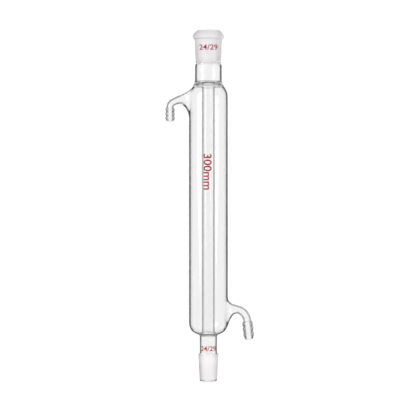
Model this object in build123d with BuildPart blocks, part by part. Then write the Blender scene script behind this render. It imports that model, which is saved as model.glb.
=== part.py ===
from build123d import *
import os
from dataclasses import dataclass
from math import asin, cos, radians, sin, tan

# Straight-tube condenser blown from borosilicate glass, in millimetres. It lies on a
# table as it comes to rest, on its jacket and on the hose end of its lower arm.
# +Y runs along the tube to the socket, +Z is up, and the origin is on the table,
# under the middle of the tube.

# 24/29 ground joints: large end, ground length of the cone, taper on the diameter
joint_diameter = 24.0
joint_length = 29.0
joint_taper = 0.1

# Jacket for the cooling water, from weld to weld
jacket_length = 300.0
jacket_diameter = 46.8
jacket_wall = 1.8
jacket_top_radius = 14.0
jacket_top_slope = 38.0
jacket_bottom_radius = 13.0
jacket_bottom_slope = 22.0

# Inner tube, where the vapour condenses
tube_diameter = 15.0
tube_wall = 1.5

# Ring seals, where the inner tube is fused to the jacket
top_seal_rise = 1.2
top_seal_dish = 1.4
top_seal_thickness = 3.6
bottom_seal_rise = 2.4
bottom_mouth_depth = 0.8
seal_fillet = 2.6
seal_fillet_share = 0.7

# Neck between the jacket and the socket
neck_length = 20.8
neck_diameter = 32.2
neck_wall = 2.0
neck_flare_radius = 17.0
neck_shoulder_height = 3.0
neck_shoulder_radius = 2.4
neck_shoulder_wall = 1.1

# Socket with its rim bead
socket_length = 40.2
socket_top_diameter = 32.8
socket_bottom_diameter = 30.4
socket_ground_length = 34.0
socket_lead_in = 2.6
socket_lead_in_flare = 0.9
bead_diameter = 37.0
bead_height = 10.4
bead_top_height = 5.0
bead_radius = 1.8
bead_top_radius = 3.2
bead_fillet = 1.2
rim_diameter = 27.4
rim_radius = 0.9
rim_lip_radius = 0.4

# Stem and cone
stem_length = 21.3
stem_diameter = 20.7
stem_wall = 1.8
stem_weld_fillet = 2.0
cone_shoulder_height = 1.2
cone_corner_radius = 1.1
cone_wall = 2.1
tip_length = 4.5
tip_curl_radius = 3.3
tip_mouth_diameter = 12.0
lip_radius = 0.9

# Hose arms. The upper arm leaves the jacket below the middle of its shoulder, the lower
# arm above the weld. An arm slopes toward the cone, and bends into the straight hose end,
# which leans away from the tube by its tilt. Its flare onto the jacket is at most a share
# of what the straight run before the bend has room for, and the mouth of its bore inside
# follows the flare, so that the blown wall stays about as thick all the way
upper_arm_drop = 8.33
upper_arm_diameter = 9.0
upper_arm_bore = 4.8
upper_arm_reach = 45.8
upper_arm_slope = 25.0
upper_arm_tilt = 0.0
upper_bend_radius = 7.2
upper_hose_run = 0.4
upper_ridge_diameter = 12.0
upper_ridge_pitch = 5.1
upper_tip_length = 1.0
upper_root_fillet = 9.5
upper_flare_share = 0.9
upper_mouth_fillet = 9.5

lower_arm_rise = 33.8
lower_arm_diameter = 9.8
lower_arm_bore = 5.8
lower_arm_reach = 45.2
lower_arm_slope = 15.0
lower_arm_tilt = 6.0
lower_bend_radius = 15.0
lower_hose_run = 1.2
lower_ridge_diameter = 13.6
lower_ridge_pitch = 6.4
lower_tip_length = 2.4
lower_root_fillet = 9.0
lower_flare_share = 1.1
lower_mouth_fillet = 10.0

ridge_count = 3
ridge_depth = 1.1
ridge_crest_radius = 1.7
ridge_valley_radius = 0.8
ridge_rise = 0.34
mouth_allowance = 1.0
hose_tip_wall = 1.8
bore_overrun = 1.0
hose_lip_radius = 0.7

# Radii of the tubes, outside and inside
jacket_radius = jacket_diameter / 2
jacket_bore_radius = jacket_radius - jacket_wall
tube_radius = tube_diameter / 2
tube_bore_radius = tube_radius - tube_wall
neck_radius = neck_diameter / 2
neck_bore_radius = neck_radius - neck_wall
stem_radius = stem_diameter / 2
stem_bore_radius = stem_radius - stem_wall
cone_large_radius = joint_diameter / 2
cone_small_radius = cone_large_radius - joint_taper * joint_length / 2
tip_mouth_radius = tip_mouth_diameter / 2
socket_small_radius = cone_large_radius - joint_taper * socket_ground_length / 2

# Stations along the tube, from the tip of the cone to the rim of the socket
overall_length = (
    tip_length + joint_length + cone_shoulder_height + stem_length
    + jacket_length + neck_length + neck_shoulder_height + socket_length
)
tip_y = -overall_length / 2
cone_small_y = tip_y + tip_length
cone_large_y = cone_small_y + joint_length
stem_y = cone_large_y + cone_shoulder_height
bottom_weld_y = stem_y + stem_length
top_weld_y = bottom_weld_y + jacket_length
neck_top_y = top_weld_y + neck_length
socket_y = neck_top_y + neck_shoulder_height
rim_y = overall_length / 2
ground_top_y = rim_y - socket_lead_in
ground_bottom_y = ground_top_y - socket_ground_length
top_seal_y = top_weld_y + top_seal_rise
bottom_seal_y = bottom_weld_y + bottom_seal_rise
jacket_bottom_y = bottom_weld_y + (jacket_radius - stem_radius) * tan(radians(jacket_bottom_slope))
jacket_top_y = top_weld_y - (jacket_radius - neck_radius) / tan(radians(jacket_top_slope))

# The bottom of the water space is a narrow ring round the inner tube, and its rounding
# is at most a share of that ring's width
bottom_ring_width = (
    stem_radius - jacket_wall - tube_radius
    + (bottom_seal_rise - jacket_wall * tan(radians(90 - jacket_bottom_slope) / 2))
    / tan(radians(jacket_bottom_slope))
)
bottom_seal_fillet = min(seal_fillet, seal_fillet_share * bottom_ring_width)

# Rest: the tube's axis lies at the jacket's radius above the table, and the whole
# piece is rolled about it until the last ridge of the lower hose end touches the table too
lower_bend = radians(90 - lower_arm_slope - lower_arm_tilt)
lower_crest_drop = (
    lower_bend_radius * tan(lower_bend / 2)
    + lower_hose_run + (ridge_count - 1 + ridge_rise) * lower_ridge_pitch
)
lower_crest_reach = lower_arm_reach + lower_crest_drop * sin(radians(lower_arm_tilt))
rest_roll = asin((jacket_radius - lower_ridge_diameter / 2) / lower_crest_reach)

# The arms lie in one plane through the tube's axis: x is away from the axis, y along it
arms_plane = Plane(
    origin=(0, 0, jacket_radius),
    x_dir=(cos(rest_roll), 0, -sin(rest_roll)),
    z_dir=(sin(rest_roll), 0, cos(rest_roll)),
)
tube_axis = Axis((0, 0, jacket_radius), (0, 1, 0))


def outline(*corners):
    """Closed outline through corners, each a distance from the axis, a station and a rounding."""
    FilletPolyline(
        *[(away, along) for away, along, rounding in corners],
        radius=[rounding for away, along, rounding in corners],
        close=True,
    )


def jacket_corners(depth):
    """Corners of the jacket's surface, or of the surface at a depth into its wall."""
    bottom_shift = depth * tan(radians(90 - jacket_bottom_slope) / 2)
    top_shift = depth * tan(radians(jacket_top_slope) / 2)
    return [
        (stem_radius - depth, bottom_weld_y + bottom_shift, stem_weld_fillet + depth),
        (jacket_radius - depth, jacket_bottom_y + bottom_shift, jacket_bottom_radius - depth),
        (jacket_radius - depth, jacket_top_y - top_shift, jacket_top_radius - depth),
        (neck_radius - depth, top_weld_y - top_shift, neck_flare_radius + depth),
    ]


@dataclass
class HoseArm:
    """One hose arm: the side it is on, its height on the jacket and its own sizes."""

    side: int
    along: float
    diameter: float
    bore: float
    reach: float
    slope: float
    tilt: float
    bend_radius: float
    hose_run: float
    ridge_diameter: float
    ridge_pitch: float
    tip_length: float
    root_fillet: float
    flare_share: float
    mouth_fillet: float

    def hose_length(self):
        """Length of the hose end, from the bend to its tip."""
        return self.hose_run + ridge_count * self.ridge_pitch + self.tip_length

    def on_hose(self, drop):
        """Point on the hose end's middle line, a distance below the bend."""
        fall = (self.reach - jacket_radius) * tan(radians(self.slope))
        bend = radians(90 - self.slope - self.tilt)
        below = self.bend_radius * tan(bend / 2) + drop
        tilt = radians(self.tilt)
        return (self.side * (self.reach + below * sin(tilt)), self.along - fall - below * cos(tilt))

    def path(self, overrun):
        """Middle line from inside the jacket, round the bend and past the hose end's tip."""
        depth = jacket_wall + self.diameter / 2
        rise = tan(radians(self.slope))
        inside = (self.side * (jacket_radius - depth), self.along + depth * rise)
        corner = (self.side * self.reach, self.along - (self.reach - jacket_radius) * rise)
        with BuildLine(arms_plane) as middle:
            end = self.on_hose(self.hose_length() + overrun)
            FilletPolyline(inside, corner, end, radius=self.bend_radius)
        return middle.line

    def flare_radius(self):
        """Rounding where the arm leaves the jacket, as far as the run before the bend has room."""
        slope = radians(self.slope)
        bend = radians(90 - self.slope - self.tilt)
        run = (self.reach - jacket_radius) / cos(slope) - self.bend_radius * tan(bend / 2)
        room = (run - self.diameter / 2 * tan(slope)) * tan((radians(90) - slope) / 2)
        return min(self.root_fillet, self.flare_share * room)

    def mouth_radius(self):
        """Rounding of the bore's mouth inside the jacket, held to the flare outside."""
        return min(self.mouth_fillet, self.flare_radius() + mouth_allowance)

    def hose_plane(self):
        """Plane with its origin at the end of the bend and its y axis down the hose end."""
        origin = arms_plane.from_local_coords((*self.on_hose(0), 0))
        down = arms_plane.from_local_coords((*self.on_hose(1), 0)) - origin
        return Plane(origin=origin, x_dir=down.cross(arms_plane.z_dir), z_dir=arms_plane.z_dir)

    def hose_corners(self):
        """Outline of the hose end: ridges, steep behind and sloping to the tip."""
        ridge_radius = self.ridge_diameter / 2
        corners = [(0, 0, 0), (self.diameter / 2, 0, 0), (self.diameter / 2, self.hose_run, 0)]
        for ridge in range(ridge_count):
            start = self.hose_run + ridge * self.ridge_pitch
            corners.append((ridge_radius, start + ridge_rise * self.ridge_pitch, ridge_crest_radius))
            corners.append((ridge_radius - ridge_depth, start + self.ridge_pitch, ridge_valley_radius))
        tip_radius = self.bore / 2 + hose_tip_wall
        corners += [(tip_radius, self.hose_length(), hose_lip_radius), (0, self.hose_length(), 0)]
        return corners


upper_arm = HoseArm(
    side=-1,
    along=(jacket_top_y + top_weld_y) / 2 - upper_arm_drop,
    diameter=upper_arm_diameter,
    bore=upper_arm_bore,
    reach=upper_arm_reach,
    slope=upper_arm_slope,
    tilt=upper_arm_tilt,
    bend_radius=upper_bend_radius,
    hose_run=upper_hose_run,
    ridge_diameter=upper_ridge_diameter,
    ridge_pitch=upper_ridge_pitch,
    tip_length=upper_tip_length,
    root_fillet=upper_root_fillet,
    flare_share=upper_flare_share,
    mouth_fillet=upper_mouth_fillet,
)
lower_arm = HoseArm(
    side=1,
    along=bottom_weld_y + lower_arm_rise,
    diameter=lower_arm_diameter,
    bore=lower_arm_bore,
    reach=lower_arm_reach,
    slope=lower_arm_slope,
    tilt=lower_arm_tilt,
    bend_radius=lower_bend_radius,
    hose_run=lower_hose_run,
    ridge_diameter=lower_ridge_diameter,
    ridge_pitch=lower_ridge_pitch,
    tip_length=lower_tip_length,
    root_fillet=lower_root_fillet,
    flare_share=lower_flare_share,
    mouth_fillet=lower_mouth_fillet,
)
arms = [upper_arm, lower_arm]

# Hollow for the cooling water: the jacket's inside round the inner tube, closed by the
# two ring seals, and the bores of the arms
with BuildPart() as water_space:
    with BuildSketch(arms_plane) as inside:
        with BuildLine():
            outline(
                (0, stem_y, 0),
                (stem_radius - jacket_wall, stem_y, 0),
                *jacket_corners(jacket_wall),
                (neck_radius - jacket_wall, neck_top_y, 0),
                (0, neck_top_y, 0),
            )
        make_face()
        with Locations((0, (bottom_seal_y + top_seal_y - top_seal_thickness) / 2)):
            Rectangle(
                2 * jacket_radius,
                top_seal_y - top_seal_thickness - bottom_seal_y,
                mode=Mode.INTERSECT,
            )
            Rectangle(tube_diameter, overall_length, mode=Mode.SUBTRACT)
        fillet(inside.vertices().group_by(Axis.Y)[-1], seal_fillet)
        fillet(inside.vertices().group_by(Axis.Y)[0], bottom_seal_fillet)
    revolve(axis=tube_axis)
    for arm in arms:
        path = arm.path(bore_overrun)
        with BuildSketch(Plane(origin=path @ 0, z_dir=path % 0)):
            Circle(arm.bore / 2)
        sweep(path=path)
        fillet(water_space.edges(Select.NEW), arm.mouth_radius())

with BuildPart() as condenser:
    with BuildSketch(arms_plane) as glass:
        with BuildLine():
            outline(
                (0, tip_y, 0),
                (cone_small_radius, tip_y, tip_curl_radius),
                (cone_small_radius, cone_small_y, 0),
                (cone_large_radius, cone_large_y, cone_corner_radius),
                (stem_radius, stem_y, 0),
                *jacket_corners(0),
                (neck_radius, neck_top_y, neck_shoulder_radius),
                (socket_bottom_diameter / 2, socket_y, 0),
                (socket_top_diameter / 2, rim_y - bead_height, bead_fillet),
                (bead_diameter / 2, rim_y - bead_height, bead_radius),
                (bead_diameter / 2, rim_y - bead_top_height, bead_top_radius),
                (rim_diameter / 2, rim_y, rim_radius),
                (0, rim_y, 0),
            )
        make_face()
        with BuildLine():
            outline(
                (0, tip_y, 0),
                (tip_mouth_radius, tip_y, 0),
                (tip_mouth_radius, tip_y + cone_wall, lip_radius),
                (cone_small_radius - cone_wall, tip_y + cone_wall, tip_curl_radius - cone_wall),
                (cone_small_radius - cone_wall, cone_small_y, 0),
                (cone_large_radius - cone_wall, cone_large_y - cone_wall, cone_wall),
                (stem_bore_radius, stem_y, cone_wall),
                (stem_bore_radius, bottom_weld_y - bottom_mouth_depth, seal_fillet),
                (tube_bore_radius, bottom_seal_y, seal_fillet),
                (tube_bore_radius, top_seal_y - top_seal_dish, seal_fillet),
                (neck_bore_radius, top_seal_y, seal_fillet),
                (neck_bore_radius, socket_y - neck_shoulder_wall, neck_shoulder_radius),
                (socket_small_radius, ground_bottom_y, neck_wall),
                (cone_large_radius, ground_top_y, 0),
                (cone_large_radius + socket_lead_in_flare, rim_y, 0),
                (0, rim_y, 0),
            )
        make_face(mode=Mode.SUBTRACT)
        fillet(glass.vertices().group_by(Axis.Y)[0].sort_by(Axis.X)[0], lip_radius)
        fillet(glass.vertices().group_by(Axis.Y)[-1].sort_by(Axis.X)[0], rim_lip_radius)
    revolve(axis=tube_axis)

    # Arms: the bent tube, the ridged hose end, and the flare where the arm leaves the jacket
    for arm in arms:
        path = arm.path(-arm.tip_length)
        with BuildSketch(Plane(origin=path @ 0, z_dir=path % 0)):
            Circle(arm.diameter / 2)
        sweep(path=path)
        fillet(condenser.edges(Select.NEW), arm.flare_radius())
        hose_plane = arm.hose_plane()
        with BuildSketch(hose_plane):
            with BuildLine():
                outline(*arm.hose_corners())
            make_face()
        revolve(axis=Axis(hose_plane.origin, hose_plane.y_dir))

    add(water_space.part, mode=Mode.SUBTRACT)

condenser.part.label = "condenser"
os.makedirs("parts", exist_ok=True)
export_step(condenser.part, "parts/condenser.step")
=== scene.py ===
# %% [markdown]
# # A glass condenser
# A straight-tube condenser is one piece of blown glass: a jacket for cooling water is fused
# round a plain inner tube, with a ground socket at the top, a ground cone at the bottom and
# two bent arms for the water hoses. This lesson makes its glass as one closed skin, because
# glass is drawn by where light goes in and out, and then gives it clear, ground and printed
# finishes. The measured model is loaded first, as the frame that everything is set against.

# %% Load the frame
from bisect import bisect_right
from math import asin, ceil, cos, pi, radians, sin, tan

import bmesh
import bpy
from mathutils import Matrix, Vector


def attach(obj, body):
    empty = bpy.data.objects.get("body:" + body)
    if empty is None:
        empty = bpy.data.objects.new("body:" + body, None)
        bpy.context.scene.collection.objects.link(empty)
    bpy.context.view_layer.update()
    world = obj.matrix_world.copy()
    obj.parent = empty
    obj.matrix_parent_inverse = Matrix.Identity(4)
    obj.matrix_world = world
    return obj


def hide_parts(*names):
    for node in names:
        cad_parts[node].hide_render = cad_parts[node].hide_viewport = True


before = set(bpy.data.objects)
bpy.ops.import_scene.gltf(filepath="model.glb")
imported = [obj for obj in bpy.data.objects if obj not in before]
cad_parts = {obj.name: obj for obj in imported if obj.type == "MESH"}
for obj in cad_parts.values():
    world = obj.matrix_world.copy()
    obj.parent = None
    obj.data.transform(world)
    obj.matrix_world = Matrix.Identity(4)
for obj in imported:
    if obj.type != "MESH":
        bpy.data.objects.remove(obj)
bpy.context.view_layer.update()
scene = bpy.context.scene
scene.view_settings.view_transform = "Standard"

# %% [markdown]
# ## Sizes
# A glassblower works from a drawing in millimetres, so the sizes are written that way and
# the finished mesh is scaled to metres once. The joints are 24/29: 24 mm across at the large
# end and ground over 29 mm, with a taper of one in ten.

# %% Sizes of the joints, the jacket and the inner tube
mm = 0.001
joint_diameter, joint_length, joint_taper = 24.0, 29.0, 0.1
jacket_length, jacket_diameter, jacket_wall = 300.0, 46.8, 1.8
jacket_top_radius, jacket_top_slope = 14.0, 38.0
jacket_bottom_radius, jacket_bottom_slope = 13.0, 22.0
tube_diameter, tube_wall = 15.0, 1.5
top_seal_rise, top_seal_dish, top_seal_thickness = 1.2, 1.4, 3.6
bottom_seal_rise, bottom_mouth_depth, seal_fillet = 2.4, 0.8, 2.6
print("jacket", jacket_diameter, "mm across and", jacket_length, "mm long")

# %% Sizes of the neck and the socket
neck_length, neck_diameter, neck_wall, neck_flare_radius = 20.8, 32.2, 2.0, 17.0
neck_shoulder_height, neck_shoulder_radius, neck_shoulder_wall = 3.0, 2.4, 1.1
socket_length, socket_top_diameter, socket_bottom_diameter = 40.2, 32.8, 30.4
socket_ground_length, socket_lead_in, socket_lead_in_flare = 34.0, 2.6, 0.9
bead_diameter, bead_height, bead_top_height = 37.0, 10.4, 5.0
bead_radius, bead_top_radius, bead_fillet = 1.8, 3.2, 1.2
rim_diameter, rim_radius = 27.4, 0.9
frosting_overrun = 2.4
print("socket", socket_bottom_diameter, "to", socket_top_diameter, "mm across")

# %% Sizes of the stem and the cone
stem_length, stem_diameter, stem_wall, stem_weld_fillet = 21.3, 20.7, 1.8, 2.0
cone_shoulder_height, cone_corner_radius, cone_wall = 1.2, 1.1, 2.1
tip_length, tip_curl_radius, tip_mouth_diameter, lip_radius = 4.5, 3.3, 12.0, 0.9
crisp_radius, soft_radius = 0.4, 0.8
print("stem", stem_diameter, "mm across, mouth of the tip", tip_mouth_diameter, "mm")

# %% Radii
jacket_radius = jacket_diameter / 2
tube_radius, tube_bore_radius = tube_diameter / 2, tube_diameter / 2 - tube_wall
neck_radius, neck_bore_radius = neck_diameter / 2, neck_diameter / 2 - neck_wall
stem_radius, stem_bore_radius = stem_diameter / 2, stem_diameter / 2 - stem_wall
cone_large_radius = joint_diameter / 2
cone_small_radius = cone_large_radius - joint_taper * joint_length / 2
socket_small_radius = cone_large_radius - joint_taper * socket_ground_length / 2
socket_bottom_radius = socket_bottom_diameter / 2
print("cone", cone_large_radius, "to", cone_small_radius, "mm from the axis")

# %% Stations along the tube, from the tip to the rim
overall_length = (
    tip_length + joint_length + cone_shoulder_height + stem_length
    + jacket_length + neck_length + neck_shoulder_height + socket_length
)
tip_y = -overall_length / 2
cone_small_y = tip_y + tip_length
cone_large_y = cone_small_y + joint_length
stem_y = cone_large_y + cone_shoulder_height
bottom_weld_y = stem_y + stem_length
top_weld_y = bottom_weld_y + jacket_length
neck_top_y = top_weld_y + neck_length
socket_y = neck_top_y + neck_shoulder_height
rim_y = overall_length / 2
bead_y = rim_y - bead_height
ground_top_y = rim_y - socket_lead_in
ground_bottom_y = ground_top_y - socket_ground_length
frosting_y = ground_bottom_y - frosting_overrun
print("overall length", overall_length, "mm, jacket from", bottom_weld_y, "to", top_weld_y)

# %% Stations and slopes of the shoulders and the seals
top_seal_y = top_weld_y + top_seal_rise
bottom_seal_y = bottom_weld_y + bottom_seal_rise
bottom_shoulder = tan(radians(jacket_bottom_slope))
top_shoulder = tan(radians(jacket_top_slope))
jacket_bottom_y = bottom_weld_y + (jacket_radius - stem_radius) * bottom_shoulder
jacket_top_y = top_weld_y - (jacket_radius - neck_radius) / top_shoulder
socket_slope = (socket_top_diameter - socket_bottom_diameter) / 2 / (bead_y - socket_y)
print("straight wall of the jacket from", round(jacket_bottom_y, 1), "to", round(jacket_top_y, 1))

# %% [markdown]
# ## Hose arms
# The arms differ: the lower one is wider, and its hose end leans outward. Each is a set of
# sizes with the same names, so that one recipe can draw out both. A foot says how far the
# flare spreads over the wall above, below and beside the arm. A neck says how far out the
# flare has become the round arm on those sides. A patch is the stretch of the wall's outline
# that is opened. The names with mouth say the same of the bore, where it opens into the water
# space.

# %% Sizes of the two hose arms
upper_arm_drop, lower_arm_height = 8.33, 33.8
upper_arm = dict(
    side=-1, along=(jacket_top_y + top_weld_y) / 2 - upper_arm_drop, diameter=9.0, bore=4.8,
    reach=45.8, slope=25.0, tilt=0.0, bend=7.2, run=0.4, ridge=12.0, pitch=5.1, tip=1.0,
    foot=(8.3, 25.6, 10.6), neck=(14.5, 16.0, 9.0), patch=(104.8, 142.5),
    mouth_foot=(9.2, 22.8, 9.0), mouth_neck=(13.0, 14.2, 7.6), mouth_patch=(107.0, 143.6),
)
lower_arm = dict(
    side=1, along=bottom_weld_y + lower_arm_height, diameter=9.8, bore=5.8,
    reach=45.2, slope=15.0, tilt=6.0, bend=15.0, run=1.2, ridge=13.6, pitch=6.4, tip=2.4,
    foot=(9.8, 24.4, 10.8), neck=(5.0, 12.3, 6.1), patch=(-147.6, -108.0),
    mouth_foot=(9.0, 21.6, 9.4), mouth_neck=(4.4, 12.2, 5.6), mouth_patch=(-144.6, -108.0),
)

# %% Sizes of the ridged hose ends
ridge_count, ridge_depth, ridge_rise = 3, 1.1, 0.34
ridge_crest_radius, ridge_valley_radius = 1.7, 0.8
hose_tip_wall, hose_lip_radius = 1.8, 0.7
hose_root_gap, hose_root_radius, hose_bore_radius = 0.01, 0.3, 0.5
print("ridges", upper_arm["ridge"], "and", lower_arm["ridge"], "mm across")

# %% [markdown]
# ## Rest
# The piece can't stand, so it lies on its jacket and rolls until the last ridge of the
# lower hose end touches the table. The roll follows from the sizes of the jacket and that arm.

# %% How far the piece rolls
lower_bend = radians(90 - lower_arm["slope"] - lower_arm["tilt"])
crest_drop = (
    lower_arm["bend"] * tan(lower_bend / 2) + lower_arm["run"]
    + (ridge_count - 1 + ridge_rise) * lower_arm["pitch"]
)
crest_reach = lower_arm["reach"] + crest_drop * sin(radians(lower_arm["tilt"]))
roll = asin((jacket_radius - lower_arm["ridge"] / 2) / crest_reach)
to_table = Matrix.Translation((0, 0, jacket_radius * mm)) @ Matrix.Rotation(roll, 4, "Y")
to_table_in_metres = to_table @ Matrix.Scale(mm, 4)
toward_viewer = Vector((sin(roll), 0, cos(roll)))
to_the_right = Vector((cos(roll), 0, -sin(roll)))
print("rolled", round(roll * 180 / pi, 2), "degrees")

# %% [markdown]
# ## Camera
# The photograph shows the condenser upright and square on. Here it lies, so the camera looks
# down on it, square to the plane of its arms. A long lens far away keeps the tube's sides
# parallel, as they are in the photograph.

# %% Camera
photo_pixels, photo_length_pixels = 416, 351.6
photo_shift_left, photo_shift_down = 0.4, 1.8
mm_per_pixel = overall_length / photo_length_pixels
pixel = mm_per_pixel * mm
camera_distance = 3.0
camera_data = bpy.data.cameras.new("camera")
camera = bpy.data.objects.new("camera", camera_data)
scene.collection.objects.link(camera)
scene.camera = camera
camera_data.lens = camera_data.sensor_width * camera_distance / (photo_pixels * pixel)
aim = to_table @ Vector((0, 0, 0)) - to_the_right * photo_shift_left * pixel
aim.y -= photo_shift_down * pixel
camera_place = Matrix.Translation(aim + toward_viewer * camera_distance)
camera.matrix_world = camera_place @ Matrix.Rotation(roll, 4, "Y")
print("lens", round(camera_data.lens, 1), "mm")

# %% [markdown]
# ## Helpers for nodes
# A material is a graph of nodes. Many of them here only compare two numbers or mix two
# colours, so each of those jobs has a helper. It makes the node, gives it its inputs and hands
# back its output, ready for the next node.


# %% Compare numbers and mix colours
def feed(tree, value, socket):
    """Give a socket the output of another node, or a number or colour of its own."""
    if isinstance(value, bpy.types.NodeSocket):
        tree.links.new(value, socket)
    else:
        socket.default_value = value


def maths(tree, operation, first, second):
    """Output of a Math node for two values."""
    node = tree.nodes.new("ShaderNodeMath")
    node.operation = operation
    feed(tree, first, node.inputs[0])
    feed(tree, second, node.inputs[1])
    return node.outputs[0]


def mixed(tree, share, first, second, kind="RGBA"):
    """Output of a Mix node: the first value at a share of zero, the second at one."""
    node = tree.nodes.new("ShaderNodeMix")
    node.data_type = kind
    for name, value in (("Factor", share), ("A", first), ("B", second)):
        feed(tree, value, node.inputs[name])
    return node.outputs["Result"]


def grey(brightness):
    """A grey colour, from 0 for black to 1 for white."""
    return (brightness, brightness, brightness, 1)


# %% [markdown]
# ## Table and light
# Clear glass shows only what is round it. In the photograph the background is white and the
# room beside it is darker, and the walls of the tubes bend that darker room into thin grey
# outlines. Here the table is white to the camera. Rays that the glass has bent or mirrored
# fall through the table instead, to a sky that is pale straight behind the condenser, with
# a dim band round that and pale again further out. The band's limits are angles in degrees
# from straight behind. Mirrored rays meet it sooner, so that every wall has a crisp dark edge.

# %% Angles and greys of the dim band
bent_pale, bent_dim, bent_dim_end, bent_pale_again = 28, 38, 52, 58
mirrored_pale, mirrored_dim, mirrored_dim_end, mirrored_pale_again = 7, 18, 46, 58
band_grey, behind_grey = 0.05, 0.925
at_least_once = 0.5


# %% Rays that the glass has bent or mirrored
def met_glass(tree):
    """One for a ray that glass has bent or mirrored and nothing matt has met, or else zero."""
    path = tree.nodes.new("ShaderNodeLightPath")
    turned = maths(tree, "ADD", path.outputs["Transmission Depth"], path.outputs["Glossy Depth"])
    by_glass = maths(tree, "GREATER_THAN", turned, at_least_once)
    not_by_matt = maths(tree, "LESS_THAN", path.outputs["Diffuse Depth"], at_least_once)
    return maths(tree, "MULTIPLY", by_glass, not_by_matt)


# %% How far a ray points away from straight behind
world = bpy.data.worlds.new("studio")
scene.world = world
world.use_nodes = True
sky = world.node_tree
direction = sky.nodes.new("ShaderNodeTexCoord")
behind = sky.nodes.new("ShaderNodeVectorMath")
behind.operation = "DOT_PRODUCT"
behind.inputs[1].default_value = -toward_viewer
sky.links.new(direction.outputs["Generated"], behind.inputs[0])
sky_path = sky.nodes.new("ShaderNodeLightPath")
is_mirrored = maths(sky, "GREATER_THAN", sky_path.outputs["Glossy Depth"], at_least_once)


# %% Sky
def band_edge(pale, dim):
    """Zero at the pale angle and one at the dim one. Each is a pair, for bent and mirrored."""
    edge = sky.nodes.new("ShaderNodeMapRange")
    edge.interpolation_type = "SMOOTHSTEP"
    sky.links.new(behind.outputs["Value"], edge.inputs["Value"])
    for limit, angles in (("From Min", pale), ("From Max", dim)):
        bent, mirrored = [cos(radians(angle)) for angle in angles]
        sky.links.new(mixed(sky, is_mirrored, bent, mirrored, "FLOAT"), edge.inputs[limit])
    return edge.outputs[0]


inner_edge = band_edge((bent_pale, mirrored_pale), (bent_dim, mirrored_dim))
outer_edge = band_edge((bent_pale_again, mirrored_pale_again), (bent_dim_end, mirrored_dim_end))
in_band = maths(sky, "MULTIPLY", inner_edge, outer_edge)
through_glass = mixed(sky, in_band, grey(behind_grey), grey(band_grey))
sky_colour = mixed(sky, met_glass(sky), grey(1.0), through_glass)
sky.links.new(sky_colour, sky.nodes["Background"].inputs["Color"])
sky.nodes["Background"].inputs["Strength"].default_value = 1.0
print("sky of", len(sky.nodes), "nodes")

# %% Softbox
softbox_width, softbox_depth, softbox_power = 0.9, 0.6, 5.0
softbox_place = Vector((-0.7, 0.35, 1.1))
softbox_data = bpy.data.lights.new("softbox", "AREA")
softbox_data.shape = "RECTANGLE"
softbox_data.size, softbox_data.size_y = softbox_width, softbox_depth
softbox_data.energy = softbox_power
softbox = bpy.data.objects.new("softbox", softbox_data)
softbox_turn = softbox_place.to_track_quat("Z", "Y").to_matrix().to_4x4()
softbox.matrix_world = Matrix.Translation(softbox_place) @ softbox_turn
scene.collection.objects.link(softbox)
print("softbox", softbox_width, "by", softbox_depth, "m, at", softbox_power, "W")

# %% Table
table_half_width, table_brightness = 12.0, 0.95
table_mesh = bpy.data.meshes.new("table")
bm = bmesh.new()
bmesh.ops.create_grid(bm, x_segments=1, y_segments=1, size=table_half_width)
bm.to_mesh(table_mesh)
bm.free()
table = bpy.data.objects.new("table", table_mesh)
scene.collection.objects.link(table)

# %% A table top that glass sees through
table_top = bpy.data.materials.new("table top")
table_top.use_nodes = True
top = table_top.node_tree
top_shader = top.nodes["Principled BSDF"]
top_shader.inputs["Base Color"].default_value = grey(table_brightness)
top_shader.inputs["Roughness"].default_value = 1.0
top_shader.inputs["Specular IOR Level"].default_value = 0.0
opening = top.nodes.new("ShaderNodeBsdfTransparent")
top_mix = top.nodes.new("ShaderNodeMixShader")
top.links.new(met_glass(top), top_mix.inputs["Fac"])
top.links.new(top_shader.outputs[0], top_mix.inputs[1])
top.links.new(opening.outputs[0], top_mix.inputs[2])
top.links.new(top_mix.outputs[0], top.nodes["Material Output"].inputs["Surface"])
table_mesh.materials.append(table_top)

# %% [markdown]
# ## Finishes
# The piece has clear fire-polished glass, the same glass ground matt where the joints meet,
# and red enamel print. Drawn tube is never quite true, so a faint ripple runs along it.
# Ground glass has a fine tooth, and fired print is a little rough. All three come from one
# group that makes a bumpy normal from noise, with its own scale and height in each material.

# %% A group for an uneven surface
uneven = bpy.data.node_groups.new("uneven surface", "ShaderNodeTree")
for name, value in (("Across", 100.0), ("Along", 4.0), ("Height", 0.0001)):
    given_value = uneven.interface.new_socket(name, in_out="INPUT", socket_type="NodeSocketFloat")
    given_value.default_value = value
uneven.interface.new_socket("Normal", in_out="OUTPUT", socket_type="NodeSocketVector")
given = uneven.nodes.new("NodeGroupInput")
result = uneven.nodes.new("NodeGroupOutput")
place = uneven.nodes.new("ShaderNodeTexCoord")
stretch = uneven.nodes.new("ShaderNodeCombineXYZ")
scaled = uneven.nodes.new("ShaderNodeVectorMath")
scaled.operation = "MULTIPLY"
noise = uneven.nodes.new("ShaderNodeTexNoise")
noise.inputs["Scale"].default_value = 1.0
noise.inputs["Detail"].default_value = 2.0
bump = uneven.nodes.new("ShaderNodeBump")
bump.inputs["Strength"].default_value = 1.0

# %% Wire the group
for output, socket in (
    (given.outputs["Across"], stretch.inputs["X"]),
    (given.outputs["Along"], stretch.inputs["Y"]),
    (given.outputs["Across"], stretch.inputs["Z"]),
    (place.outputs["Object"], scaled.inputs[0]),
    (stretch.outputs[0], scaled.inputs[1]),
    (scaled.outputs[0], noise.inputs["Vector"]),
    (noise.outputs["Fac"], bump.inputs["Height"]),
    (given.outputs["Height"], bump.inputs["Distance"]),
    (bump.outputs["Normal"], result.inputs["Normal"]),
):
    uneven.links.new(output, socket)


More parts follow.
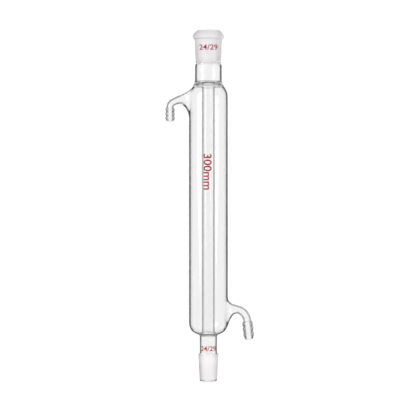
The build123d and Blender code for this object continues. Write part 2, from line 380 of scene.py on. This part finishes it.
def uneven_normal(tree, across, along, height):
    """Normal of an uneven surface, from the group with its own values."""
    group = tree.nodes.new("ShaderNodeGroup")
    group.node_tree = uneven
    for name, value in (("Across", across), ("Along", along), ("Height", height)):
        group.inputs[name].default_value = value
    return group.outputs["Normal"]


# %% [markdown]
# ## Glass
# The Principled shader bends light by its index, and its colour tints each surface that light
# goes through. Where glass is seen at a slant, light goes a little further in the wall, and the
# rest of the darker edge is painted shade: the tint deepens toward the edge by how slanted the
# surface is. A solid shadow would be wrong under clear glass, so shadow rays pass through
# nearly whole.

# %% Glass that lets lamplight through
glass_ior = 1.47


def glass(name, tint, edge_tint_and_painted_shade, shade, roughness, across, along, height, through=1.0):
    """Borosilicate glass. Shade is the share of lamplight that reaches what lies under it."""
    material = bpy.data.materials.new(name)
    material.use_nodes = True
    tree = material.node_tree
    shader = tree.nodes["Principled BSDF"]
    # Painted shade: the base colour darkens toward the edge where the surface is seen at a slant,
    # partly for the longer path in the wall.
    slant = tree.nodes.new("ShaderNodeLayerWeight")
    slant.inputs["Blend"].default_value = 0.5
    colour = mixed(tree, slant.outputs["Facing"], tint, edge_tint_and_painted_shade)
    tree.links.new(colour, shader.inputs["Base Color"])
    tree.links.new(uneven_normal(tree, across, along, height), shader.inputs["Normal"])
    shader.inputs["Roughness"].default_value = roughness
    shader.inputs["IOR"].default_value = glass_ior
    shader.inputs["Transmission Weight"].default_value = through
    clear = tree.nodes.new("ShaderNodeBsdfTransparent")
    clear.inputs["Color"].default_value = grey(shade)
    path = tree.nodes.new("ShaderNodeLightPath")
    mix = tree.nodes.new("ShaderNodeMixShader")
    tree.links.new(path.outputs["Is Shadow Ray"], mix.inputs["Fac"])
    tree.links.new(shader.outputs[0], mix.inputs[1])
    tree.links.new(clear.outputs[0], mix.inputs[2])
    tree.links.new(mix.outputs[0], tree.nodes["Material Output"].inputs["Surface"])
    return material


# %% Clear glass and ground glass
# Each edge tint is partly the longer path in the wall and partly painted shade at the glass's
# edge, strongest on the ground finishes.
clear_glass = glass(
    "clear glass", tint=(0.983, 0.979, 0.982, 1), edge_tint_and_painted_shade=(0.945, 0.94, 0.943, 1),
    shade=0.985, roughness=0.0, across=110.0, along=9.0, height=0.00004,
)
matt = dict(shade=0.97, roughness=0.5, across=900.0, along=900.0, height=0.0001, through=0.80)
ground_cone = glass(
    "ground cone", tint=(0.943, 0.928, 0.938, 1), edge_tint_and_painted_shade=(0.69, 0.675, 0.685, 1), **matt
)
ground_socket = glass(
    "ground socket", tint=(0.865, 0.85, 0.86, 1), edge_tint_and_painted_shade=(0.65, 0.635, 0.645, 1), **matt
)

# %% [markdown]
# ## Red enamel
# The marks are printed with a paste of red glass powder and fired on. The powder never melts
# quite evenly, so the red wanders a little between two tones and the surface is a little rough.

# %% Red enamel
enamel_dark, enamel_light = (0.29, 0.001, 0.006, 1), (0.41, 0.003, 0.012, 1)
enamel = bpy.data.materials.new("red enamel")
enamel.use_nodes = True
paste = enamel.node_tree
enamel_shader = paste.nodes["Principled BSDF"]
enamel_shader.inputs["Roughness"].default_value = 0.35
enamel_shader.inputs["Specular IOR Level"].default_value = 0.2
enamel_place = paste.nodes.new("ShaderNodeTexCoord")
grains = paste.nodes.new("ShaderNodeTexNoise")
grains.inputs["Scale"].default_value = 700.0
paste.links.new(enamel_place.outputs["Object"], grains.inputs["Vector"])
fired = mixed(paste, grains.outputs["Fac"], enamel_dark, enamel_light)
paste.links.new(fired, enamel_shader.inputs["Base Color"])
enamel_normal = uneven_normal(paste, across=1500.0, along=1500.0, height=0.00003)
paste.links.new(enamel_normal, enamel_shader.inputs["Normal"])
print("finishes", [m.name for m in (clear_glass, ground_socket, ground_cone, enamel)])

# %% [markdown]
# ## Rounded outlines
# A turned shape starts as an outline of corners, each a distance from the axis, a station
# along it and a rounding. The helper rounds each corner with a true arc, in small steps. Every
# fourth step is marked as a key, and only the keys become rings of the mesh.

# %% Round the corners of an outline
least_rounding, least_turn = 0.01, 0.02


def rounded(corners, step=14.0, fine=4):
    """Points of a closed outline with its corners rounded, each with whether it is a key."""
    points = []
    for i, (away, along, rounding) in enumerate(corners):
        here = Vector((away, along))
        back = (Vector(corners[i - 1][:2]) - here).normalized()
        ahead = (Vector(corners[(i + 1) % len(corners)][:2]) - here).normalized()
        turn = pi - back.angle(ahead)
        if rounding < least_rounding or turn < least_turn:
            points.append((here, True))
            continue
        start = here + back * rounding * tan(turn / 2)
        centre = here + (back + ahead).normalized() * rounding / cos(turn / 2)
        way = 1 if back.x * ahead.y - back.y * ahead.x < 0 else -1
        steps = max(1, round(turn / radians(step))) * fine
        for k in range(steps + 1):
            spoke = Matrix.Rotation(way * turn * k / steps, 2) @ (start - centre)
            points.append((centre + spoke, k % fine == 0))
    return points


# %% [markdown]
# ## Turning a skin on the lathe
# The outline is walked by its length, with the jacket's straight wall numbered as its
# stations. Where an arm is to be welded on, the rings are set evenly, so that the opening
# for it is a neat square of small faces. The outline is then spun once round the axis.

# %% Turn an outline into a skin
turns = 48
patch_faces = 10
longest_face, patch_margin = 11.0, 0.9
shortest_gap, hair = 0.05, 1e-4


class Skin:
    """A closed skin of revolution, and where a length along its outline lies."""

    def __init__(self, corners, patches):
        self.points = rounded(corners)
        line = [point for point, key in self.points] + [self.points[0][0]]
        widest = max(point.x for point in line)
        self.lengths = [0.0]
        for a, b in zip(line, line[1:]):
            self.lengths.append(self.lengths[-1] + (b - a).length)
        first = next(i for i, point in enumerate(line) if point.x > widest - hair)
        shift = line[first].y - self.lengths[first]
        self.lengths = [length + shift for length in self.lengths]
        self.line = line
        self.rings = self.ring_lengths(patches)

    def at(self, length):
        """Point of the outline at a length along it, as distance and station."""
        i = min(max(bisect_right(self.lengths, length) - 1, 0), len(self.line) - 2)
        span = self.lengths[i + 1] - self.lengths[i]
        share = (length - self.lengths[i]) / span if span > 0 else 0.0
        return self.line[i].lerp(self.line[i + 1], share)

    def on(self, length, angle):
        """Point of the skin at a length along its outline and an angle round the axis."""
        away, along = self.at(length)
        return Vector((away * cos(angle), along, away * sin(angle)))

    def ring_lengths(self, patches):
        """Lengths at which the mesh has rings, even in each patch and close at each rounding."""
        keys = [s for s, (point, key) in zip(self.lengths, self.points) if key]
        for low, high in patches:
            keys = [s for s in keys if s < low - patch_margin or s > high + patch_margin]
            keys += [low + (high - low) * k / patch_faces for k in range(patch_faces + 1)]
        keys.sort()
        spaced = []
        for a, b in zip(keys, keys[1:] + [self.lengths[-1]]):
            if b - a > shortest_gap:
                count = ceil((b - a) / longest_face)
                spaced += [a + (b - a) * k / count for k in range(count)]
        return spaced

    def spin(self, bm):
        """Mesh of the skin: its outline as a ring of edges, spun round the axis."""
        before = set(bm.faces)
        corners = [bm.verts.new((*self.at(s), 0)) for s in self.rings]
        edges = [bm.edges.new(pair) for pair in zip(corners, corners[1:] + corners[:1])]
        bmesh.ops.spin(bm, geom=corners + edges, cent=(0, 0, 0), axis=(0, 1, 0), dvec=(0, 0, 0),
                       angle=2 * pi, steps=turns, use_merge=True, use_duplicate=False)
        self.faces = [face for face in bm.faces if face not in before]


# %% [markdown]
# ## The body
# The outside runs from the fire-polished tip up the cone, stem, jacket, neck and socket to
# the rim, and the way for the vapour runs back down inside. Together they are one outline.


# %% Outline of the jacket at a depth into its wall
def jacket_corners(depth):
    """Corners of the jacket from the stem's weld to the neck, with a wall's depth taken off."""
    bottom_shift = depth * tan(radians(90 - jacket_bottom_slope) / 2)
    top_shift = depth * tan(radians(jacket_top_slope) / 2)
    return [
        (stem_radius - depth, bottom_weld_y + bottom_shift, stem_weld_fillet + depth),
        (jacket_radius - depth, jacket_bottom_y + bottom_shift, jacket_bottom_radius - depth),
        (jacket_radius - depth, jacket_top_y - top_shift, jacket_top_radius - depth),
        (neck_radius - depth, top_weld_y - top_shift, neck_flare_radius + depth),
    ]


# %% Outside of the body, from the tip up to the rim
tip_mouth_radius = tip_mouth_diameter / 2
outside = [
    (tip_mouth_radius, tip_y, lip_radius),
    (cone_small_radius, tip_y, tip_curl_radius),
    (cone_small_radius, cone_small_y, 0),
    (cone_large_radius, cone_large_y, cone_corner_radius),
    (stem_radius, stem_y, crisp_radius),
    *jacket_corners(0),
    (neck_radius, neck_top_y, neck_shoulder_radius),
    (socket_bottom_radius, socket_y, soft_radius),
    (socket_bottom_radius + socket_slope * (frosting_y - socket_y), frosting_y, 0),
    (socket_top_diameter / 2, bead_y, bead_fillet),
    (bead_diameter / 2, bead_y, bead_radius),
    (bead_diameter / 2, rim_y - bead_top_height, bead_top_radius),
    (rim_diameter / 2, rim_y, rim_radius),
]

# %% Way for the vapour, from the socket's mouth down to the tip
inside = [
    (cone_large_radius + socket_lead_in_flare, rim_y, crisp_radius),
    (cone_large_radius, ground_top_y, soft_radius),
    (socket_small_radius, ground_bottom_y, neck_wall),
    (neck_bore_radius, socket_y - neck_shoulder_wall, neck_shoulder_radius),
    (neck_bore_radius, top_seal_y, seal_fillet),
    (tube_bore_radius, top_seal_y - top_seal_dish, seal_fillet),
    (tube_bore_radius, bottom_seal_y, seal_fillet),
    (stem_bore_radius, bottom_weld_y - bottom_mouth_depth, seal_fillet),
    (stem_bore_radius, stem_y, cone_wall),
    (cone_large_radius - cone_wall, cone_large_y - cone_wall, cone_wall),
    (cone_small_radius - cone_wall, cone_small_y, 0),
    (cone_small_radius - cone_wall, tip_y + cone_wall, tip_curl_radius - cone_wall),
    (tip_mouth_radius, tip_y + cone_wall, lip_radius),
]

# %% Skin of the body
body_skin = Skin(outside + inside, [lower_arm["patch"], upper_arm["patch"]])
print("rings of the body", len(body_skin.rings))

# %% [markdown]
# ## The water space
# The hollow between jacket and inner tube is a skin of its own, closed at both ends by the
# ring seals where the tube is fused in.

# %% Skin of the water space
seal_low_y, seal_high_y = bottom_seal_y, top_seal_y - top_seal_thickness
low_corner, high_corner, neck_corner = jacket_corners(jacket_wall)[1:]
seal_low_radius = low_corner[0] - (low_corner[1] - seal_low_y) / bottom_shoulder
seal_high_radius = neck_corner[0] + max(0.0, neck_corner[1] - seal_high_y) * top_shoulder
water_skin = Skin([
    (tube_radius, seal_low_y, seal_fillet),
    (max(seal_low_radius, tube_radius + 2 * seal_fillet), seal_low_y, seal_fillet),
    low_corner,
    high_corner,
    (seal_high_radius, seal_high_y, seal_fillet),
    (tube_radius, seal_high_y, seal_fillet),
], [lower_arm["mouth_patch"], upper_arm["mouth_patch"]])
print("rings of the water space", len(water_skin.rings))

# %% [markdown]
# ## Opening the wall for an arm
# A square of faces is cut out of the skin where an arm joins. Each corner of the opening
# remembers how far round the arm it stands, and how far from the arm's middle it lies.

# %% Places on the opening's square
wall_from_axis = 17.0
half_patch = patch_faces // 2


def from_axis(co):
    """How far a point lies from the axis of the tube."""
    return Vector((co.x, co.z)).length


def turn_of(across, along):
    """Angle round the arm of a corner, counted in faces across and along from the middle."""
    step = 90 / patch_faces
    if across == half_patch:
        return step * along
    if along == half_patch:
        return 90 - step * across
    if across == -half_patch:
        return 180 - step * along
    return 270 + step * across


# %% Cut an opening
def open_wall(bm, skin, patch, sizes, layers):
    """Edges of a square opening in a skin, its corners marked with angle and offsets."""
    length = patch[1] - patch[0]
    heights = [skin.at(patch[0] + length * k / patch_faces).y for k in range(patch_faces + 1)]
    narrowest = cos(pi / turns * patch_faces)

    def in_patch(co):
        faces_the_arm = co.x * sizes["side"] > narrowest * from_axis(co)
        return heights[0] < co.y < heights[-1] and from_axis(co) > wall_from_axis and faces_the_arm

    doomed = {face for face in skin.faces if face.is_valid and in_patch(face.calc_center_median())}
    edges = [e for e in {e for face in doomed for e in face.edges}
             if sum(face in doomed for face in e.link_faces) == 1]
    bmesh.ops.delete(bm, geom=list(doomed), context="FACES")
    for corner in {v for e in edges for v in e.verts}:
        turned = asin(max(-1, min(1, corner.co.z / from_axis(corner.co))))
        nearest = min(range(len(heights)), key=lambda k: abs(heights[k] - corner.co.y))
        angle = turn_of(round(turned / (2 * pi / turns)), nearest - half_patch)
        corner[layers["round"]] = radians(angle)
        corner[layers["across"]] = turned * jacket_radius
        corner[layers["along"]] = patch[0] + length * nearest / patch_faces - sizes["along"]
    return edges


# %% [markdown]
# ## Drawing an arm out
# A glassblower pulls the softened wall outward, bends it and presses the ridges. The mesh is
# made in the same order: the opening's edges are extruded again and again, and each new ring
# is set on the arm's flare, its bend and its ridged end, and then back down its bore.


# %% Extrude a ring
def draw_out(bm, edges, layers, place):
    """Extrude a ring of edges and set each new corner where place says."""
    made = bmesh.ops.extrude_edge_only(bm, edges=edges)["geom"]
    for corner in made:
        if isinstance(corner, bmesh.types.BMVert):
            turn, across, along = [corner[layers[name]] for name in ("round", "across", "along")]
            corner.co = place(turn, across, along)
    return [e for e in made if isinstance(e, bmesh.types.BMEdge) and e.is_boundary]


# %% Sizes that differ round an arm
def blend(values, turn):
    """A size that differs above, below and beside an arm, at an angle round it."""
    above, below, beside = values
    lift = sin(turn)
    end = above if lift > 0 else below
    return beside + (end - beside) * lift * lift


def foot_offsets(values, turn):
    """Foot of a flare at an angle round the arm, as offsets across and along the wall."""
    above, below, beside = values
    return beside * cos(turn), (above if sin(turn) > 0 else below) * sin(turn)


# %% Where the rings of an arm go
flare_pull, foot_nudge = 0.95, 1.02
hose_ring_step = 18.0


class Arm:
    """The line of one arm, and the place of each ring on it."""

    def __init__(self, sizes):
        self.sizes = sizes
        self.side, self.along = sizes["side"], sizes["along"]
        self.slope = radians(sizes["slope"])
        self.last = radians(90 - sizes["tilt"])
        full = (sizes["reach"] - jacket_radius) / cos(self.slope)
        self.leg = full - sizes["bend"] * tan((self.last - self.slope) / 2)
        self.root = Vector((self.side * jacket_radius, self.along, 0))
        self.centre = self.leg_point(self.leg) - self.outward(self.slope) * sizes["bend"]

    def ahead(self, angle):
        """Direction of the arm where it points down by an angle."""
        return Vector((self.side * cos(angle), -sin(angle), 0))

    def outward(self, angle):
        """Direction square to the arm, away from the middle of its bend."""
        return Vector((self.side * sin(angle), cos(angle), 0))

    def leg_point(self, distance):
        """Point on the middle of the straight leg, at a distance from the jacket."""
        return self.root + self.ahead(self.slope) * distance

    def ring(self, middle, angle, radius, turn):
        """Point of a ring square to the arm's line, at an angle round it."""
        return middle + radius * (cos(turn) * Vector((0, 0, 1)) + sin(turn) * self.outward(angle))

    def on_skin(self, skin, share, foot, turn, across, along):
        """Point between the opening's edge and the foot of the flare, on the skin."""
        foot_across, foot_along = foot_offsets(foot, turn)
        over = across + (foot_across - across) * share
        up = along + (foot_along - along) * share
        middle = 0.0 if self.side > 0 else pi
        return skin.on(self.along + up, middle + self.side * over / jacket_radius)

    def flare(self, skin, foot, neck, radius, share, turn):
        """Point of the flare from its foot on the skin to its neck on the arm."""
        start = self.on_skin(skin, 1.0, foot, turn, 0, 0)
        wider = tuple(value * foot_nudge for value in foot)
        lead = (start - self.on_skin(skin, 1.0, wider, turn, 0, 0)).normalized()
        end = self.ring(self.leg_point(blend(neck, turn)), self.slope, radius, turn)
        pull = (end - start).length * flare_pull
        t, t2, t3 = share, share ** 2, share ** 3
        return (start * (2 * t3 - 3 * t2 + 1) + lead * pull * (t3 - 2 * t2 + t)
                + end * (3 * t2 - 2 * t3) + self.ahead(self.slope) * pull * (t3 - t2))

    def bend(self, share, radius, turn):
        """Point of a ring at a share of the way round the bend."""
        angle = self.slope + (self.last - self.slope) * share
        middle = self.centre + self.outward(angle) * self.sizes["bend"]
        return self.ring(middle, angle, radius, turn)

    def hose(self, distance, radius, turn):
        """Point of a ring at a distance past the bend."""
        start = self.centre + self.outward(self.last) * self.sizes["bend"]
        return self.ring(start + self.ahead(self.last) * distance, self.last, radius, turn)

    def hose_rings(self):
        """Radius and distance of each ring of the hose end, down its outside and up its bore."""
        s = self.sizes
        shaft, crest, bore = s["diameter"] / 2, s["ridge"] / 2, s["bore"] / 2
        corners = [(shaft, 0, 0), (shaft, s["run"] + hose_root_gap, hose_root_radius)]
        for ridge in range(ridge_count):
            start = s["run"] + ridge * s["pitch"]
            corners.append((crest, start + ridge_rise * s["pitch"], ridge_crest_radius))
            corners.append((crest - ridge_depth, start + s["pitch"], ridge_valley_radius))
        length = s["run"] + ridge_count * s["pitch"] + s["tip"]
        corners.append((bore + hose_tip_wall, length, hose_lip_radius))
        corners += [(bore, length, hose_bore_radius), (bore, length / 2, 0), (bore, 0, 0)]
        return [point for point, key in rounded(corners, step=hose_ring_step) if key]


# %% Pull a flare out of a wall
foot_shares, flare_steps, bend_steps = (0.35, 0.7, 1.0), 5, 8


def pull_flare(bm, ring, layers, arm, skin, foot, neck, radius):
    """Rings from an opening's edge over the wall to the foot, and up the flare to the neck."""
    for share in foot_shares:
        ring = draw_out(bm, ring, layers, lambda turn, across, along: arm.on_skin(
            skin, share, foot, turn, across, along))
    for k in range(1, flare_steps + 1):
        ring = draw_out(bm, ring, layers, lambda turn, across, along: arm.flare(
            skin, foot, neck, radius, k / flare_steps, turn))
    return ring


# %% Spin both skins
bm = bmesh.new()
layer_names = ("round", "across", "along")
for name in layer_names:
    bm.verts.layers.float.new(name)
body_skin.spin(bm)
water_skin.spin(bm)
layers = {name: bm.verts.layers.float[name] for name in layer_names}
print("faces of both skins", len(bm.faces))

# %% Weld both arms on
for sizes in (upper_arm, lower_arm):
    arm = Arm(sizes)
    radius, bore = sizes["diameter"] / 2, sizes["bore"] / 2
    ring = open_wall(bm, body_skin, sizes["patch"], sizes, layers)
    print("opening of", len(ring), "edges")
    ring = pull_flare(bm, ring, layers, arm, body_skin, sizes["foot"], sizes["neck"], radius)
    for k in range(bend_steps):
        ring = draw_out(bm, ring, layers, lambda turn, across, along: arm.bend(
            k / bend_steps, radius, turn))
    for around, distance in arm.hose_rings():
        ring = draw_out(bm, ring, layers, lambda turn, across, along: arm.hose(
            distance, around, turn))
    for k in range(bend_steps - 1, -1, -1):
        ring = draw_out(bm, ring, layers, lambda turn, across, along: arm.bend(
            k / bend_steps, bore, turn))
    mouth = open_wall(bm, water_skin, sizes["mouth_patch"], sizes, layers)
    mouth = pull_flare(
        bm, mouth, layers, arm, water_skin, sizes["mouth_foot"], sizes["mouth_neck"], bore)
    bmesh.ops.bridge_loops(bm, edges=mouth + ring)

# %% [markdown]
# ## Grinding the joints
# The socket and the cone are ground with grit so that they seal. The outside of the cone is
# made matt, and both sides of the socket's wall, as the whole of it looks matt in the
# photograph. The socket looks darker for that, so it has a finish of its own.

# %% Finish of each face
cone_overrun, cone_outside_margin = 1.5, 1.0
for face in bm.faces:
    middle = face.calc_center_median()
    in_socket = middle.y > frosting_y
    beside_cone = cone_small_y - cone_overrun < middle.y < cone_large_y
    on_cone = beside_cone and from_axis(middle) > cone_small_radius - cone_outside_margin
    face.material_index = 1 if in_socket else 2 if on_cone else 0
    face.smooth = True
bmesh.ops.recalc_face_normals(bm, faces=bm.faces[:])
loose = [e for e in bm.edges if not e.is_manifold]
volume = round(bm.calc_volume())
print("glass faces", len(bm.faces), "open edges", len(loose), "volume", volume, "mm3")

# %% The glass as one piece
bmesh.ops.transform(bm, matrix=to_table_in_metres, verts=bm.verts[:])
glass_mesh = bpy.data.meshes.new("glass")
bm.to_mesh(glass_mesh)
bm.free()
for material in (clear_glass, ground_socket, ground_cone):
    glass_mesh.materials.append(material)
glass_body = bpy.data.objects.new("glass_body", glass_mesh)
scene.collection.objects.link(glass_body)
smooth = glass_body.modifiers.new("smooth", "SUBSURF")
smooth.levels = smooth.render_levels = 1
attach(glass_body, "root")
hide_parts("condenser")

# %% [markdown]
# ## Printed marks
# The size of the joints and the length of the jacket are printed in red enamel and fired on.
# Each mark is set as flat letters, cut into narrow strips so that it can bend, and wrapped
# round its tube a hair above the glass.

# %% Set the letters of a mark
stroke_growth = 0.012
strip_width, strip_start, print_thickness, print_clearance = 0.8, 0.4, 0.06, 0.02


def flat_letters(name, words, height, width):
    """Mesh of a word, flat and centred, at a height and width."""
    letters = bpy.data.curves.new(name, "FONT")
    letters.body = words
    letters.align_x, letters.align_y = "CENTER", "CENTER"
    letters.size = 1.0
    letters.offset = stroke_growth
    flat = bpy.data.objects.new(name, letters)
    scene.collection.objects.link(flat)
    bpy.context.view_layer.update()
    mesh = bpy.data.meshes.new_from_object(flat)
    bpy.data.objects.remove(flat)
    bm = bmesh.new()
    bm.from_mesh(mesh)
    bpy.data.meshes.remove(mesh)
    xs, ys = [v.co.x for v in bm.verts], [v.co.y for v in bm.verts]
    middle = Vector(((min(xs) + max(xs)) / 2, (min(ys) + max(ys)) / 2, 0))
    fit = (width / (max(xs) - min(xs)), height / (max(ys) - min(ys)), 1)
    bmesh.ops.translate(bm, vec=-middle, verts=bm.verts[:])
    bmesh.ops.scale(bm, vec=fit, verts=bm.verts[:])
    return bm


# %% Cut a mark into strips
def cut_into_strips(bm):
    """Cut flat letters across, in strips narrow enough to bend round a tube."""
    reach = max(abs(v.co.x) for v in bm.verts)
    cut = -reach + strip_start
    while cut < reach:
        bmesh.ops.bisect_plane(bm, geom=bm.verts[:] + bm.edges[:] + bm.faces[:],
                               plane_co=(cut, 0, 0), plane_no=(1, 0, 0), dist=hair)
        cut += strip_width


# %% Wrap a mark round a tube
def mark(name, words, height, width, station, radius, sideways=0.0, taper=0.0, downward=False):
    """Letters on a tube, level across it or running down it, with their middle at a station."""
    bm = flat_letters(name, words, height, width)
    if downward:
        quarter = Matrix.Rotation(-pi / 2, 3, "Z")
        bmesh.ops.rotate(bm, cent=(0, 0, 0), matrix=quarter, verts=bm.verts[:])
    cut_into_strips(bm)
    bmesh.ops.triangulate(bm, faces=bm.faces[:])
    bmesh.ops.solidify(bm, geom=bm.faces[:], thickness=print_thickness)
    low = min(v.co.z for v in bm.verts)
    for corner in bm.verts:
        around = (corner.co.x + sideways) / radius
        along = corner.co.y + station
        away = radius + taper * corner.co.y + print_clearance + corner.co.z - low
        corner.co = Vector((away * sin(around), along, away * cos(around)))
    bmesh.ops.recalc_face_normals(bm, faces=bm.faces[:])
    bmesh.ops.transform(bm, matrix=to_table_in_metres, verts=bm.verts[:])
    mesh = bpy.data.meshes.new(name)
    bm.to_mesh(mesh)
    print(name, len(bm.faces), "faces, open edges", sum(not e.is_manifold for e in bm.edges))
    bm.free()
    mesh.materials.append(enamel)
    piece = bpy.data.objects.new(name, mesh)
    scene.collection.objects.link(piece)
    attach(piece, "root")


# %% The three marks
photo_middle_row = 206.2
socket_mark_row, jacket_mark_row, stem_mark_row = 47.85, 172.05, 348.3


def on_photo(row):
    """Station along the tube of a row of the photograph."""
    return (photo_middle_row - row) * mm_per_pixel


socket_mark_y = on_photo(socket_mark_row)
socket_mark_radius = socket_bottom_radius + socket_slope * (socket_mark_y - socket_y)
mark("socket_mark", "24/29", height=6.4, width=23.4, station=socket_mark_y,
     radius=socket_mark_radius, taper=socket_slope)
mark("stem_mark", "24/29", height=6.0, width=20.0, station=on_photo(stem_mark_row),
     radius=stem_radius)
mark("jacket_mark", "300mm", height=9.6, width=42.6, station=on_photo(jacket_mark_row),
     radius=jacket_radius, sideways=-0.95, downward=True)

# %% [markdown]
# ## Bounces
# Light crosses eight surfaces to pass through jacket and tube, and more in the arms, so the
# renderer is allowed enough bounces to come out again.

# %% Bounces
glass_bounces, mirror_bounces = 40, 12
scene.cycles.max_bounces = glass_bounces
scene.cycles.transmission_bounces = glass_bounces
scene.cycles.transparent_max_bounces = glass_bounces
scene.cycles.glossy_bounces = mirror_bounces
